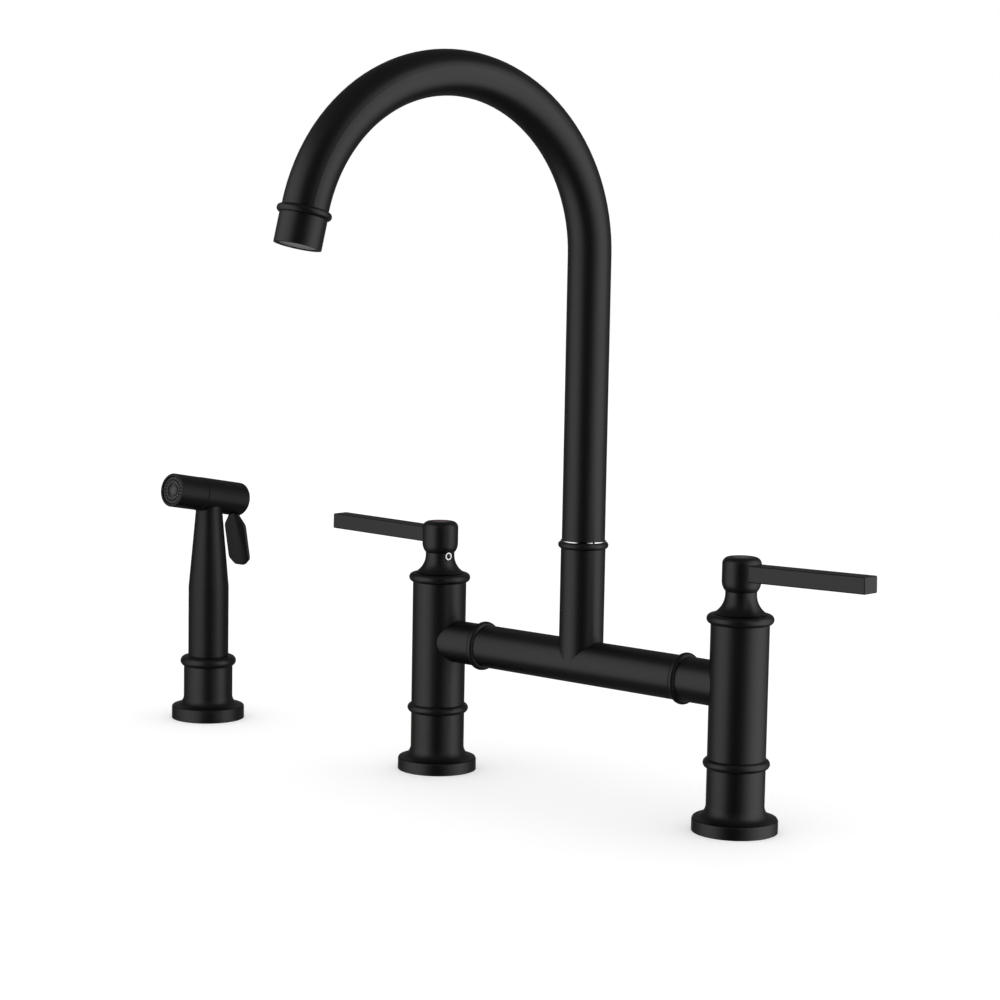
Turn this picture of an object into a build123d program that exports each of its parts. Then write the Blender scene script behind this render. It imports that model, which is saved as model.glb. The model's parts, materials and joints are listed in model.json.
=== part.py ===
from build123d import *
import os
from math import cos, radians, sin, sqrt

# Bridge kitchen faucet: two lever valve columns on 8 inch centres, a bridge tube
# with a swivelling gooseneck spout, and a side sprayer in its own deck holder.
# Millimetres. The origin lies on the deck, midway between the two valve columns.
# +Z is up, +X runs along the bridge to the right-hand valve, the user stands at -Y.

os.makedirs("parts", exist_ok=True)

# ---------------------------------------------------------------- driving sizes
# Layout
centre_distance = 203.2      # between the two valve columns
bridge_height = 73.2         # bridge tube axis above the deck
sprayer_x = -298.0
sprayer_y = 6.0
spout_turn = 12.1            # degrees, the spout stands turned towards -X
lever_turn = 1.5             # degrees, both levers stand turned towards the user
deck_thickness = 30.0        # worktop that the under-deck hardware clamps

# Clearances
thread_gap = 0.05            # radial, on screwed and pushed-in pieces
running_gap = 0.05           # radial, on shafts and spigots that turn or slide
face_gap = 0.3               # between pieces that move past each other
water_film = 0.05            # between the two ceramic discs of a valve
ring_squeeze_gap = 0.03      # radial, an O-ring stands this far proud of its spigot
lip_gap = 0.25               # radial, around the spout's tail under its washer

# Valve columns
column_r = 14.8
column_top = 105.3
flange_r = 21.8
flange_edge = 6.8            # height of the flange plate
flange_flare = 6.5           # radius of the flare from plate to sleeve
flange_round = 1.2           # rounding of the plate's upper edge
sleeve_top = 32.2
sleeve_wall = 1.6
bead_proud = 2.1             # how far a bead ring stands out of its column
collar_height = 4.8
spigot_length = 19.0         # valve body spigot inside the sleeve
bonnet_height = 5.0
bonnet_lip = 1.2
bonnet_proud = 2.45          # how far its bead stands out of the column
bonnet_gap = 2.0             # radial, between the bonnet ring and the cartridge's neck
bonnet_wall = 1.45           # thread wall at the top of the column
stub_r = 11.6
stub_water_r = 7.5

# Under-deck hardware
shank_r = 10.48              # G 1/2 thread, major radius
shank_bore = 6.5
shank_engagement = 14.0
shank_tail = 16.0            # free end below the lock nut, for the supply hose
relief_width = 2.0           # groove between the nut's thread and the hose's thread
relief_depth = 1.2
gasket_inner_r = 16.5
gasket_outer_r = 20.0
gasket_thickness = 2.0
backing_r = 19.0
backing_thickness = 3.0
clamp_r = 21.0
clamp_thickness = 2.0
lock_nut_flats = 30.0
lock_nut_height = 9.0

# Ceramic cartridges
seat_drop = 13.2             # floor that the seat seal lies on, below the bridge's axis
seat_seal_thickness = 2.0
cartridge_r = 9.95
cartridge_flange_r = 11.7
cartridge_flange = 3.0
cartridge_neck_r = 6.5
cartridge_neck = 4.4
chamber_r = 8.3
chamber_height = 16.0
disc_r = 8.25
disc_thickness = 3.0
disc_port_r = 2.6
disc_port_offset = 4.2
stem_r = 3.9
stem_drum_r = 5.2
drive_r = 7.5                # half length of the stem's drive bar
drive_width = 2.8
drive_thickness = 2.5
tongue_length = 2.0
tongue_depth = 1.5
window_r = 4.5

# Handles
neck_r = 7.95                # narrowest part of the flared neck
neck_flare = 11.3            # radius of the flare
neck_top = 120.3             # where the flare starts
crease_height = 121.7        # groove between neck and hub
hub_r = 9.87
hub_shoulder = 7.8           # radius of the hub's lower rounding
hub_side = 127.0             # where the hub's straight side starts
hub_top = 139.0
hub_round = 3.4
hub_cavity_r = 7.0
stem_socket = 8.0            # solid left above the stem inside the hub
lever_length = 76.4          # from the hub's axis to the tip
lever_width = 11.0
lever_height = 8.4
lever_centre = 131.3
lever_rise = 1.3             # degrees
lever_round = 0.7
tenon_r = 3.0
tenon_depth = 5.0
screw_r = 2.5                # M5
screw_height = 120.1
screw_socket_r = 1.4
screw_turn = 12.5            # degrees, clockwise from opposite the lever
screw_socket_depth = 2.0
stem_flat = 0.6              # depth of the flat that the screw bears on

# Bridge
bridge_r = 11.6
bridge_water_r = 8.0
union_x = 68.2               # middle of each bead ring on the bridge
union_width = 4.2
union_proud = 1.8
bridge_spigot_wall = 2.15    # stub wall left around the spigot
bridge_spigot_insert = 9.0
spigot_water_r = 6.6
o_ring_wire = 0.75           # radius of the O-ring cord
o_ring_groove = 2.2

# Riser and swivel
riser_r = 11.75
riser_top = 133.6
swivel_wall = 0.75           # riser wall removed for the ring's thread
swivel_height = 3.8
swivel_lip = 1.0
swivel_proud = 1.5
washer_thickness = 0.5
washer_proud = 0.55
tail_r = 9.0
tail_flange_r = 9.75
tail_flange = 2.2
tail_water_r = 6.3
tail_insert = 12.0
tail_ring_first = 4.0        # first O-ring above the tail's lower end
tail_ring_pitch = 6.0
bearing_gap = 0.1            # under the spout, on its washer

# Diverter
diverter_rise = 16.8         # the diverter's seat above the bridge's axis
diverter_r = 8.55
diverter_length = 16.0
diverter_wall = 1.9
diverter_web = 2.0
diverter_lip_r = 4.2
poppet_stem_r = 1.5
poppet_collar_r = 2.4
poppet_disc_r = 5.6
poppet_disc = 2.0
poppet_lift = 2.7
riser_water_r = 7.0

# Sprayer hose outlet at the back of the bridge
outlet_boss_r = 9.0
outlet_boss = 1.4            # how far the boss stands off the bridge tube
outlet_root_r = 6.0
outlet_flats = 17.0
outlet_hex = 4.0
outlet_thread_r = 8.33       # G 3/8 thread, major radius
outlet_thread = 10.0
outlet_bore = 4.0
outlet_fall = 10.0           # degrees, the outlet points down towards the deck

# Spout
spout_r = 11.4
spout_wall = 1.5
arch_height = 287.0          # height of the arc's centre
arch_radius = 88.2
arch_angle = 167.0
tip_straight = 18.7          # from the end of the arc to the outlet
tip_ring_middle = 2.2
tip_ring_width = 4.0
tip_ring_proud = 1.95
tip_r = 11.65
outlet_recess_r = 9.6
aerator_setback = 0.5
aerator_body = 5.0
aerator_screen = 1.2
aerator_cell = 0.62          # radius of the holes in the aerator's screen
aerator_pitch = 1.7
aerator_rows = 4
aerator_washer_thickness = 1.5
aerator_open_r = 7.6

# Sprayer holder
holder_flange_r = 22.0
holder_edge = 8.0
holder_flare = 5.8
holder_sleeve_top = 32.3
holder_ring_height = 5.9
holder_shank_r = 12.7
holder_shank_bore = 11.2
holder_shank_length = 48.0
holder_shank_seat = 6.0
holder_head = 2.0
holder_nut_flats = 38.0
holder_nut_height = 10.0
liner_wall = 2.15

# Sprayer wand
wand_r = 12.2
wand_stem_r = 10.6
wand_stem_bottom = 20.0
wand_shoulder = 81.0         # where the straight grip ends
wand_neck_r = 8.1
wand_neck_drop = 10.0        # end of the taper, below the head's axis
wand_bore = 3.8
wand_tenon_r = 5.0
wand_tenon = 3.4
hose_thread_r = 6.58         # G 1/4 thread, major radius
hose_thread = 10.0
hose_flats = 15.0
hose_hex = 3.0
hose_root_r = 5.6
hose_root = 7.0
hose_bore = 3.0

# Spray head, measured along its own axis from the wand's axis, front positive
head_height = 137.0
head_tilt = 9.7              # degrees, the nozzle points up
head_r = 10.25
head_wall = 1.6
head_rear = 25.3
head_seam = 9.2
head_seam_bevel = 0.6
head_rear_wall = 1.0
head_rear_round = 1.5
head_web_rear = 8.0
head_web_front = 6.0
chamber_front_r = 7.5
barrel_r = 10.1
barrel_front = 30.4
barrel_wall = 1.6
barrel_floor = 2.8
barrel_spigot = 5.0
barrel_round = 0.6
seat_r = 4.0
face_setback = 0.5
face_thickness = 2.5
face_hole_circle = 6.2
face_hole_r = 0.55
face_hole_count = 18
face_centre_r = 4.0
face_centre = 0.8
face_boss_r = 4.6
valve_stem_r = 1.6
valve_tip = 15.75            # centre of the stem's rounded end, behind the wand's axis
valve_disc_r = 5.5
valve_disc = 2.0
valve_nose = 3.0
spring_r = 3.0
spring_wire = 0.4
spring_turns = 5
spring_pitch = 1.35
valve_travel = 1.1

# Trigger
trigger_lean = 10.2          # degrees, the paddle's lower end stands away from the wand
trigger_back = 20.6          # paddle's middle behind the wand's axis, at the neck
trigger_neck_drop = 14.0     # the paddle's neck, below the head's axis
trigger_thickness = 2.2
trigger_half = 8.85
trigger_neck_half = 4.3
trigger_arm_half = 3.0
trigger_shoulder = 5.7       # below the neck
trigger_side_end = 27.2
trigger_bottom = 31.2
trigger_bottom_half = 4.0
trigger_pivot = 16.0         # above the neck, along the paddle
trigger_eye_r = 2.4
pin_r = 1.2
pin_half = 7.9
slot_front = 17.5

# ------------------------------------------------------------- worked-out places
column_x = centre_distance / 2
seat_height = bridge_height - seat_drop
sleeve_bore = column_r - sleeve_wall
body_bottom = sleeve_top + collar_height
spigot_r = sleeve_bore - thread_gap
spigot_bottom = body_bottom - spigot_length
shank_top = spigot_bottom + shank_engagement
backing_bottom = -deck_thickness - backing_thickness
clamp_bottom = backing_bottom - clamp_thickness
lock_nut_bottom = clamp_bottom - lock_nut_height
shank_bottom = lock_nut_bottom - shank_tail
relief_bottom = lock_nut_bottom - relief_width
bonnet_top = column_top + bonnet_height
bonnet_seat = bonnet_top - bonnet_lip
bonnet_thread_r = column_r - bonnet_wall
cartridge_bottom = seat_height + seat_seal_thickness
cartridge_seat = bonnet_seat - cartridge_flange
chamber_top = cartridge_bottom + chamber_height
moving_disc_bottom = cartridge_bottom + disc_thickness + water_film
drive_bottom = moving_disc_bottom + disc_thickness
drive_top = drive_bottom + drive_thickness
neck_end = bonnet_seat + cartridge_neck
hub_bottom = bonnet_top + face_gap
stem_top = hub_top - stem_socket
union_inner = union_x - union_width / 2
union_outer = union_x + union_width / 2
bridge_spigot_r = stub_r - bridge_spigot_wall
bridge_spigot_end = union_outer + bridge_spigot_insert
o_ring_x = union_outer + bridge_spigot_insert / 2
swivel_thread_r = riser_r - swivel_wall
swivel_top = riser_top + swivel_height
swivel_seat = swivel_top - swivel_lip
washer_top = swivel_top + washer_thickness
spout_bottom = washer_top + bearing_gap
tail_bore = tail_r + running_gap
tail_pocket_r = tail_flange_r + lip_gap
diverter_seat = bridge_height + diverter_rise
diverter_top = diverter_seat + diverter_length
tail_bottom = diverter_top + face_gap
poppet_disc_top = diverter_top - diverter_web - face_gap - poppet_lift
outlet_face = bridge_r + outlet_boss
tip_ring_start = tip_ring_middle - tip_ring_width / 2
tip_ring_end = tip_ring_middle + tip_ring_width / 2
tube_bore = spout_r - spout_wall
holder_ring_top = holder_sleeve_top + holder_ring_height
liner_r = sleeve_bore - thread_gap
liner_bore = liner_r - liner_wall
wand_bottom = holder_ring_top + face_gap
barrel_face = barrel_front - face_setback
valve_seat = head_seam + barrel_floor
wand_neck_height = head_height - wand_neck_drop
trigger_neck_height = head_height - trigger_neck_drop

# ------------------------------------------------------------------- directions
tilt = radians(head_tilt)
lean = radians(trigger_lean)
turn = radians(spout_turn)
spout_out = Vector(-sin(turn), -cos(turn), 0)
spout_side = Vector(cos(turn), -sin(turn), 0)
arch_end = radians(arch_angle)
tip_origin = spout_out * (arch_radius * (1 - cos(arch_end)))
tip_origin = tip_origin + Vector(0, 0, arch_height + arch_radius * sin(arch_end))
tip_way = spout_out * sin(arch_end) + Vector(0, 0, cos(arch_end))

spout_plane = Plane(origin=(0, 0, 0), x_dir=spout_out, z_dir=spout_out.cross(Vector(0, 0, 1)))
tip_profile = Plane(origin=tip_origin, x_dir=spout_side, z_dir=spout_side.cross(tip_way))
tip_plane = Plane(origin=tip_origin, x_dir=spout_side, z_dir=tip_way)
tip_axis = Axis(tip_origin, tip_way)
bridge_axis = Axis((0, 0, bridge_height), (1, 0, 0))
head_origin = Vector(sprayer_x, sprayer_y, head_height)
head_way = Vector(0, -cos(tilt), sin(tilt))
head_plane = Plane(origin=head_origin, x_dir=(1, 0, 0), z_dir=head_way)
trigger_up = Vector(0, -sin(lean), cos(lean))
trigger_origin = Vector(sprayer_x, sprayer_y + trigger_back, trigger_neck_height)
trigger_plane = Plane(
    origin=trigger_origin, x_dir=(1, 0, 0), z_dir=Vector(1, 0, 0).cross(trigger_up)
)
pivot = trigger_origin + trigger_up * trigger_pivot
pivot_plane = Plane(origin=pivot, x_dir=(0, 1, 0), z_dir=(1, 0, 0))


# ---------------------------------------------------------------------- helpers
def profile_plane(x, y=0):
    """Upright plane through a vertical axis: local X is the radius, local Y the height."""
    return Plane(origin=(x, y, 0), x_dir=(1, 0, 0), z_dir=(0, -1, 0))


def upright(x, y=0):
    return Axis((x, y, 0), (0, 0, 1))


def ring_section(bore, radius, low, high):
    """A rectangular section, for a plain turned ring."""
    with BuildSketch() as section:
        with BuildLine():
            Polyline((bore, low), (radius, low), (radius, high), (bore, high), close=True)
        make_face()
    return section.sketch


def bead_section(bore, radius, proud, low, high):
    """A ring's section with a rounded outside."""
    with BuildSketch() as section:
        with BuildLine():
            Polyline((radius, high), (bore, high), (bore, low), (radius, low))
            ThreePointArc((radius, low), (radius + proud, (low + high) / 2), (radius, high))
        make_face()
    return section.sketch


def flange_section(bore, radius, edge, flare, sleeve_r, top):
    """A deck flange that flares up into its sleeve."""
    with BuildSketch() as section:
        with BuildLine():
            Polyline((bore, top), (bore, 0), (radius, 0), (radius, edge - flange_round))
            RadiusArc((radius, edge - flange_round), (radius - flange_round, edge), -flange_round)
            Line((radius - flange_round, edge), (sleeve_r + flare, edge))
            RadiusArc((sleeve_r + flare, edge), (sleeve_r, edge + flare), flare)
            Polyline((sleeve_r, edge + flare), (sleeve_r, top), (bore, top))
        make_face()
    return section.sketch


def finish(piece, name):
    piece.part.label = name
    export_step(piece.part, f"parts/{name}.step")


# ------------------------------------------------------- valve columns and levers
for side, sign in (("left", -1), ("right", 1)):
    axis_x = sign * column_x
    profile = profile_plane(axis_x)
    axis = upright(axis_x)
    inward = Plane(origin=(axis_x, 0, bridge_height), x_dir=(0, 1, 0), z_dir=(-sign, 0, 0))
    lever_way = Vector(
        sign * cos(radians(lever_turn)) * cos(radians(lever_rise)),
        -sin(radians(lever_turn)) * cos(radians(lever_rise)),
        sin(radians(lever_rise)),
    )
    lever_plane = Plane(
        origin=(axis_x, 0, lever_centre), x_dir=Vector(0, 0, 1).cross(lever_way), z_dir=lever_way
    )
    screw_way = Vector(-lever_way.X, -lever_way.Y, 0).rotate(Axis.Z, -screw_turn)
    screw_plane = Plane(origin=(axis_x, 0, screw_height), x_dir=(0, 0, 1), z_dir=screw_way)

    # deck flange with its sleeve, a groove for the gasket underneath
    with BuildPart() as base_flange:
        with BuildSketch(profile):
            add(flange_section(
                sleeve_bore, flange_r, flange_edge, flange_flare, column_r, sleeve_top
            ))
        revolve(axis=axis)
        with BuildSketch(profile):
            add(ring_section(gasket_inner_r, gasket_outer_r, 0, gasket_thickness))
        revolve(axis=axis, mode=Mode.SUBTRACT)
    finish(base_flange, f"{side}_base_flange")

    # bead ring between the sleeve and the valve body
    with BuildPart() as collar_ring:
        with BuildSketch(profile):
            add(bead_section(sleeve_bore, column_r, bead_proud, sleeve_top, body_bottom))
        revolve(axis=axis)
    finish(collar_ring, f"{side}_collar_ring")

    # brass valve body: column, lower spigot, upper thread and the stub to the bridge
    with BuildPart() as valve_body:
        with BuildSketch(profile):
            with BuildLine():
                Polyline(
                    (0, spigot_bottom),
                    (spigot_r, spigot_bottom),
                    (spigot_r, body_bottom),
                    (column_r, body_bottom),
                    (column_r, column_top),
                    (bonnet_thread_r, column_top),
                    (bonnet_thread_r, bonnet_seat),
                    (0, bonnet_seat),
                    close=True,
                )
            make_face()
        revolve(axis=axis)
        with BuildSketch(inward):
            Circle(stub_r)
        extrude(amount=column_x - union_outer)
        with BuildSketch(profile):
            with BuildLine():
                Polyline(
                    (0, spigot_bottom),
                    (shank_r + thread_gap, spigot_bottom),
                    (shank_r + thread_gap, shank_top),
                    (shank_bore, shank_top),
                    (shank_bore, seat_height),
                    (cartridge_r + thread_gap, seat_height),
                    (cartridge_r + thread_gap, cartridge_seat),
                    (cartridge_flange_r + thread_gap, cartridge_seat),
                    (cartridge_flange_r + thread_gap, bonnet_seat),
                    (0, bonnet_seat),
                    close=True,
                )
            make_face()
        revolve(axis=axis, mode=Mode.SUBTRACT)
        with BuildSketch(inward):
            Circle(stub_water_r)
        extrude(amount=column_x - union_outer, mode=Mode.SUBTRACT)
        with BuildSketch(inward.offset(column_x - bridge_spigot_end - face_gap)):
            Circle(bridge_spigot_r + thread_gap)
        extrude(amount=bridge_spigot_insert + face_gap, mode=Mode.SUBTRACT)
    finish(valve_body, f"{side}_valve_body")

    # threaded shank through the deck, a relief groove marks off the hose's thread
    with BuildPart() as shank:
        with BuildSketch(profile):
            add(ring_section(shank_bore, shank_r, shank_bottom, shank_top))
        revolve(axis=axis)
        with BuildSketch(profile):
            add(ring_section(shank_r - relief_depth, shank_r + thread_gap, relief_bottom, lock_nut_bottom))
        revolve(axis=axis, mode=Mode.SUBTRACT)
    finish(shank, f"{side}_shank")

    # bead ring that screws down on the column and holds the cartridge in
    with BuildPart() as bonnet_ring:
        with BuildSketch(profile):
            add(bead_section(
                cartridge_neck_r + bonnet_gap, column_r - face_gap, bonnet_proud, column_top, bonnet_top
            ))
        revolve(axis=axis)
        with BuildSketch(profile):
            add(ring_section(0, bonnet_thread_r + thread_gap, column_top, bonnet_seat))
        revolve(axis=axis, mode=Mode.SUBTRACT)
    finish(bonnet_ring, f"{side}_bonnet_ring")

    # cartridge housing with its disc chamber, four side windows and stem bore
    with BuildPart() as cartridge_body:
        with BuildSketch(profile):
            with BuildLine():
                Polyline(
                    (chamber_r, cartridge_bottom),
                    (cartridge_r, cartridge_bottom),
                    (cartridge_r, cartridge_seat),
                    (cartridge_flange_r, cartridge_seat),
                    (cartridge_flange_r, bonnet_seat),
                    (cartridge_neck_r, bonnet_seat),
                    (cartridge_neck_r, neck_end),
                    (stem_r + running_gap, neck_end),
                    (stem_r + running_gap, chamber_top),
                    (chamber_r, chamber_top),
                    close=True,
                )
            make_face()
        revolve(axis=axis)
        for window_way in ((1, 0, 0), (0, 1, 0)):
            window_plane = Plane((axis_x, 0, bridge_height), x_dir=(0, 0, 1), z_dir=window_way)
            with BuildSketch(window_plane):
                Circle(window_r)
            extrude(amount=cartridge_flange_r, both=True, mode=Mode.SUBTRACT)
    finish(cartridge_body, f"{side}_cartridge_body")

    # stem: drive bar with a tongue at each end, drum, shaft and the flat for the screw
    with BuildPart() as cartridge_stem:
        with BuildSketch(profile):
            with BuildLine():
                Polyline(
                    (0, drive_top),
                    (stem_drum_r, drive_top),
                    (stem_drum_r, chamber_top - face_gap),
                    (stem_r, chamber_top - face_gap),
                    (stem_r, stem_top),
                    (0, stem_top),
                    close=True,
                )
            make_face()
        revolve(axis=axis)
        with BuildSketch(Plane.XY.offset(drive_bottom + water_film)):
            with Locations((axis_x, 0)):
                Rectangle(drive_width, 2 * drive_r)
        extrude(amount=drive_thickness - water_film)
        with BuildSketch(Plane.XY.offset(drive_bottom - tongue_depth)):
            for end in (-1, 1):
                with Locations((axis_x, end * (drive_r - tongue_length / 2))):
                    Rectangle(drive_width, tongue_length)
        extrude(amount=tongue_depth + drive_thickness)
        with BuildSketch(screw_plane.offset(stem_r - stem_flat)):
            Rectangle(2 * (stem_top - screw_height), 2 * stem_r)
        extrude(amount=stem_r, mode=Mode.SUBTRACT)
    finish(cartridge_stem, f"{side}_cartridge_stem")

    # moving ceramic disc, notched for the tongues, its ports a quarter turn from the fixed ones
    with BuildPart() as moving_disc:
        with BuildSketch(Plane.XY.offset(moving_disc_bottom)):
            with Locations((axis_x, 0)):
                Circle(disc_r - running_gap)
            for end in (-1, 1):
                with Locations((axis_x, end * (drive_r - tongue_length / 2))):
                    Rectangle(
                        drive_width + 2 * running_gap, tongue_length + 2 * running_gap,
                        mode=Mode.SUBTRACT,
                    )
            with Locations((axis_x + disc_port_offset, 0), (axis_x - disc_port_offset, 0)):
                Circle(disc_port_r, mode=Mode.SUBTRACT)
        extrude(amount=disc_thickness)
    finish(moving_disc, f"{side}_moving_disc")

    # handle: flared neck and hub, bored for the stem, the lever and the screw
    neck_centre_r = neck_r + neck_flare
    lip_r = neck_centre_r - sqrt(neck_flare**2 - (neck_top - hub_bottom) ** 2)
    with BuildPart() as handle_hub:
        with BuildSketch(profile):
            with BuildLine():
                Polyline((0, hub_top), (0, hub_bottom), (lip_r, hub_bottom))
                RadiusArc((lip_r, hub_bottom), (neck_r, neck_top), neck_flare)
                Line((neck_r, neck_top), (neck_r, crease_height))
                RadiusArc((neck_r, crease_height), (hub_r, hub_side), -hub_shoulder)
                Line((hub_r, hub_side), (hub_r, hub_top - hub_round))
                RadiusArc((hub_r, hub_top - hub_round), (hub_r - hub_round, hub_top), -hub_round)
                Line((hub_r - hub_round, hub_top), (0, hub_top))
            make_face()
        revolve(axis=axis)
        with BuildSketch(profile):
            add(ring_section(0, hub_cavity_r, hub_bottom, neck_end + face_gap))
        revolve(axis=axis, mode=Mode.SUBTRACT)
        with BuildSketch(profile):
            add(ring_section(0, stem_r + thread_gap, hub_bottom, stem_top + thread_gap))
        revolve(axis=axis, mode=Mode.SUBTRACT)
        with BuildSketch(lever_plane.offset(hub_r - tenon_depth - thread_gap)):
            Circle(tenon_r + thread_gap)
        extrude(amount=hub_r, mode=Mode.SUBTRACT)
        with BuildSketch(screw_plane):
            Circle(screw_r + thread_gap)
        extrude(amount=hub_r + neck_r, mode=Mode.SUBTRACT)
    finish(handle_hub, f"{side}_handle_hub")

    # lever bar with a tenon, its inner end shaped to the hub
    with BuildPart() as lever:
        with BuildSketch(lever_plane):
            RectangleRounded(lever_width, lever_height, lever_round)
        extrude(amount=lever_length)
        tip_face = lever.faces().sort_by(Axis(lever_plane.origin, lever_way))[-1]
        chamfer(tip_face.edges(), length=lever_round / 2)
        with BuildSketch(Plane.XY.offset(hub_bottom)):
            with Locations((axis_x, 0)):
                Circle(hub_r)
        extrude(amount=2 * (hub_top - hub_bottom), mode=Mode.SUBTRACT)
        with BuildSketch(lever_plane.offset(hub_r - tenon_depth)):
            Circle(tenon_r)
        extrude(amount=tenon_depth + lever_width / 4)
    finish(lever, f"{side}_lever")

    # socket set screw that clamps the handle on the stem's flat
    with BuildPart() as handle_screw:
        with BuildSketch(screw_plane.offset(stem_r - stem_flat + thread_gap)):
            Circle(screw_r)
        extrude(amount=neck_r - stem_r + stem_flat - thread_gap)
        with BuildSketch(screw_plane.offset(neck_r)):
            RegularPolygon(screw_socket_r, 6)
        extrude(amount=-screw_socket_depth, mode=Mode.SUBTRACT)
    finish(handle_screw, f"{side}_handle_screw")


# --------------------------------------------- pieces that both columns have alike
both_columns = ((-column_x, 0), (column_x, 0))

# rubber gaskets flush with the underside of the three deck flanges
with BuildPart() as deck_gaskets:
    with BuildSketch(Plane.XY):
        with Locations(*both_columns, (sprayer_x, sprayer_y)):
            Circle(gasket_outer_r)
            Circle(gasket_inner_r, mode=Mode.SUBTRACT)
    extrude(amount=gasket_thickness)
finish(deck_gaskets, "deck_gaskets")

with BuildPart() as backing_gaskets:
    with BuildSketch(Plane.XY.offset(backing_bottom)):
        with Locations(*both_columns):
            Circle(backing_r)
            Circle(shank_r + thread_gap, mode=Mode.SUBTRACT)
    extrude(amount=backing_thickness)
finish(backing_gaskets, "backing_gaskets")

with BuildPart() as clamp_washers:
    with BuildSketch(Plane.XY.offset(clamp_bottom)):
        with Locations(*both_columns):
            Circle(clamp_r)
            Circle(shank_r + thread_gap, mode=Mode.SUBTRACT)
    extrude(amount=clamp_thickness)
finish(clamp_washers, "clamp_washers")

with BuildPart() as lock_nuts:
    with BuildSketch(Plane.XY.offset(lock_nut_bottom)):
        with Locations(*both_columns):
            RegularPolygon(lock_nut_flats / 2, 6, major_radius=False)
            Circle(shank_r + thread_gap, mode=Mode.SUBTRACT)
    extrude(amount=lock_nut_height)
finish(lock_nuts, "lock_nuts")

with BuildPart() as seat_seals:
    with BuildSketch(Plane.XY.offset(seat_height)):
        with Locations(*both_columns):
            Circle(cartridge_r)
            Circle(shank_bore, mode=Mode.SUBTRACT)
    extrude(amount=seat_seal_thickness)
finish(seat_seals, "seat_seals")

with BuildPart() as fixed_discs:
    with BuildSketch(Plane.XY.offset(cartridge_bottom)):
        for column in both_columns:
            with Locations(column):
                Circle(disc_r)
            with Locations((column[0], disc_port_offset), (column[0], -disc_port_offset)):
                Circle(disc_port_r, mode=Mode.SUBTRACT)
    extrude(amount=disc_thickness)
finish(fixed_discs, "fixed_discs")

# ------------------------------------------------------------------------ bridge
# bridge tube with a spigot at each end, the riser and the boss for the hose outlet
riser_profile = profile_plane(0)
outlet_way = Vector(0, cos(radians(outlet_fall)), -sin(radians(outlet_fall)))
outlet_plane = Plane(origin=(0, 0, bridge_height), x_dir=(1, 0, 0), z_dir=outlet_way)
groove_low = o_ring_x - o_ring_groove / 2
groove_high = o_ring_x + o_ring_groove / 2
groove_r = bridge_spigot_r - 2 * o_ring_wire + ring_squeeze_gap
with BuildPart() as bridge_tee:
    for end in (-1, 1):
        with BuildSketch(Plane.XZ):
            with BuildLine():
                Polyline(
                    (0, bridge_height),
                    (0, bridge_height + bridge_r),
                    (end * union_inner, bridge_height + bridge_r),
                    (end * union_inner, bridge_height + bridge_spigot_r),
                    (end * groove_low, bridge_height + bridge_spigot_r),
                    (end * groove_low, bridge_height + groove_r),
                    (end * groove_high, bridge_height + groove_r),
                    (end * groove_high, bridge_height + bridge_spigot_r),
                    (end * bridge_spigot_end, bridge_height + bridge_spigot_r),
                    (end * bridge_spigot_end, bridge_height),
                    close=True,
                )
            make_face()
        revolve(axis=bridge_axis)
    with BuildSketch(riser_profile):
        with BuildLine():
            Polyline(
                (0, bridge_height),
                (riser_r, bridge_height),
                (riser_r, riser_top),
                (swivel_thread_r, riser_top),
                (swivel_thread_r, swivel_seat),
                (0, swivel_seat),
                close=True,
            )
        make_face()
    revolve(axis=Axis.Z)
    with BuildSketch(outlet_plane):
        Circle(outlet_boss_r)
    extrude(amount=outlet_face)
    with BuildSketch(Plane.YZ):
        with Locations((0, bridge_height)):
            Circle(spigot_water_r)
    extrude(amount=bridge_spigot_end, both=True, mode=Mode.SUBTRACT)
    with BuildSketch(Plane.YZ):
        with Locations((0, bridge_height)):
            Circle(bridge_water_r)
    extrude(amount=union_inner - bridge_water_r, both=True, mode=Mode.SUBTRACT)
    with BuildSketch(riser_profile):
        with BuildLine():
            Polyline(
                (0, bridge_height),
                (riser_water_r, bridge_height),
                (riser_water_r, diverter_seat),
                (diverter_r + thread_gap, diverter_seat),
                (diverter_r + thread_gap, diverter_top),
                (tail_bore, diverter_top),
                (tail_bore, riser_top),
                (tail_pocket_r, riser_top),
                (tail_pocket_r, swivel_seat),
                (0, swivel_seat),
                close=True,
            )
        make_face()
    revolve(axis=Axis.Z, mode=Mode.SUBTRACT)
    with BuildSketch(outlet_plane):
        Circle(outlet_root_r + thread_gap)
    extrude(amount=outlet_face, mode=Mode.SUBTRACT)
finish(bridge_tee, "bridge_tee")

# bead rings over the joints between the bridge tube and the two stubs
for side, sign in (("left", -1), ("right", 1)):
    union_profile = Plane(origin=(0, 0, bridge_height), x_dir=(0, 0, 1), z_dir=(0, sign, 0))
    with BuildPart() as union_ring:
        with BuildSketch(union_profile):
            add(bead_section(
                bridge_spigot_r + thread_gap, bridge_r, union_proud, union_inner, union_outer
            ))
        revolve(axis=bridge_axis)
    finish(union_ring, f"{side}_union_ring")

with BuildPart() as union_o_rings:
    for end in (-1, 1):
        with BuildSketch(Plane.XZ):
            with Locations((end * o_ring_x, bridge_height + groove_r + o_ring_wire)):
                Circle(o_ring_wire)
        revolve(axis=bridge_axis)
finish(union_o_rings, "union_o_rings")

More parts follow.
